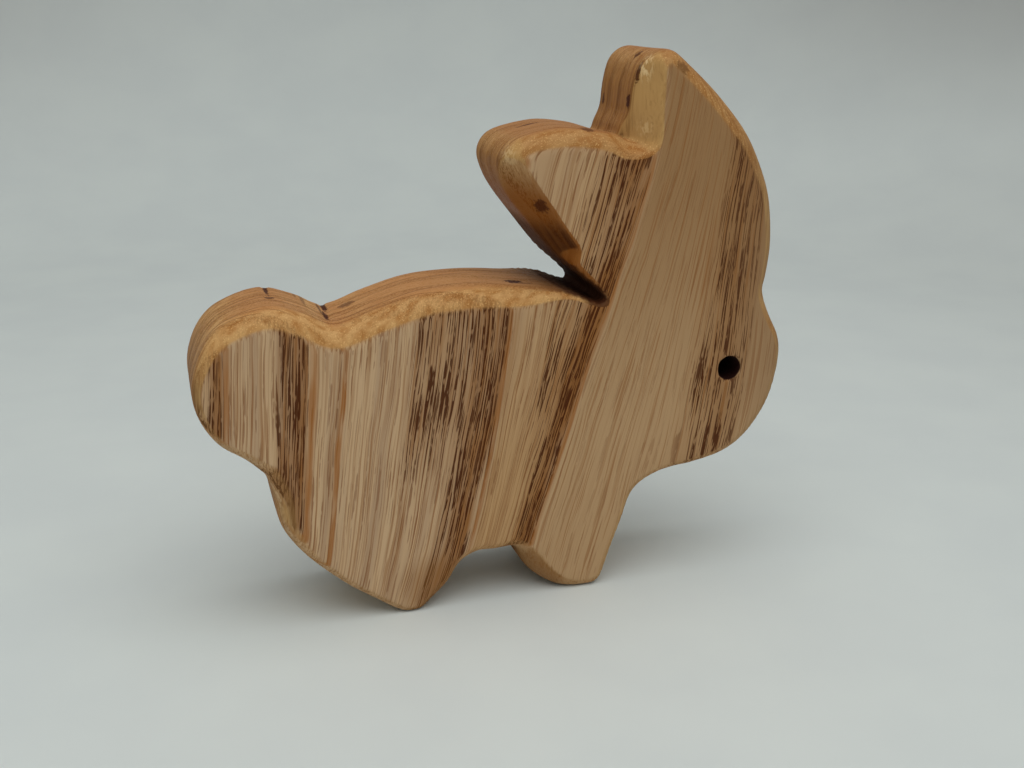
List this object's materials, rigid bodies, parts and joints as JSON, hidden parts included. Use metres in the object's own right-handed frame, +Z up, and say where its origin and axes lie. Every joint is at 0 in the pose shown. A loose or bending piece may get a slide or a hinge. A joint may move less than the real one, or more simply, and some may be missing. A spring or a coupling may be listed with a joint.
{
  "type": "wooden rabbit figure",
  "caption": "Flat standing rabbit in side view, sawn from one solid board, with rounded edges, a deep cut behind the head and a drilled eye.",
  "frame": {"origin": "on the ground, under the middle of the board's length and thickness", "axes": "+X towards the nose, +Z up through the ears, +Y through the board's thickness, away from the face that is seen first"},
  "size_m": [0.098, 0.02, 0.0895],
  "materials": {
    "ash_wood": "sanded by hand, thin clear oil"
  },
  "bodies": {
    "root": {"rabbit_board": "ash_wood"}
  },
  "joints": []
}
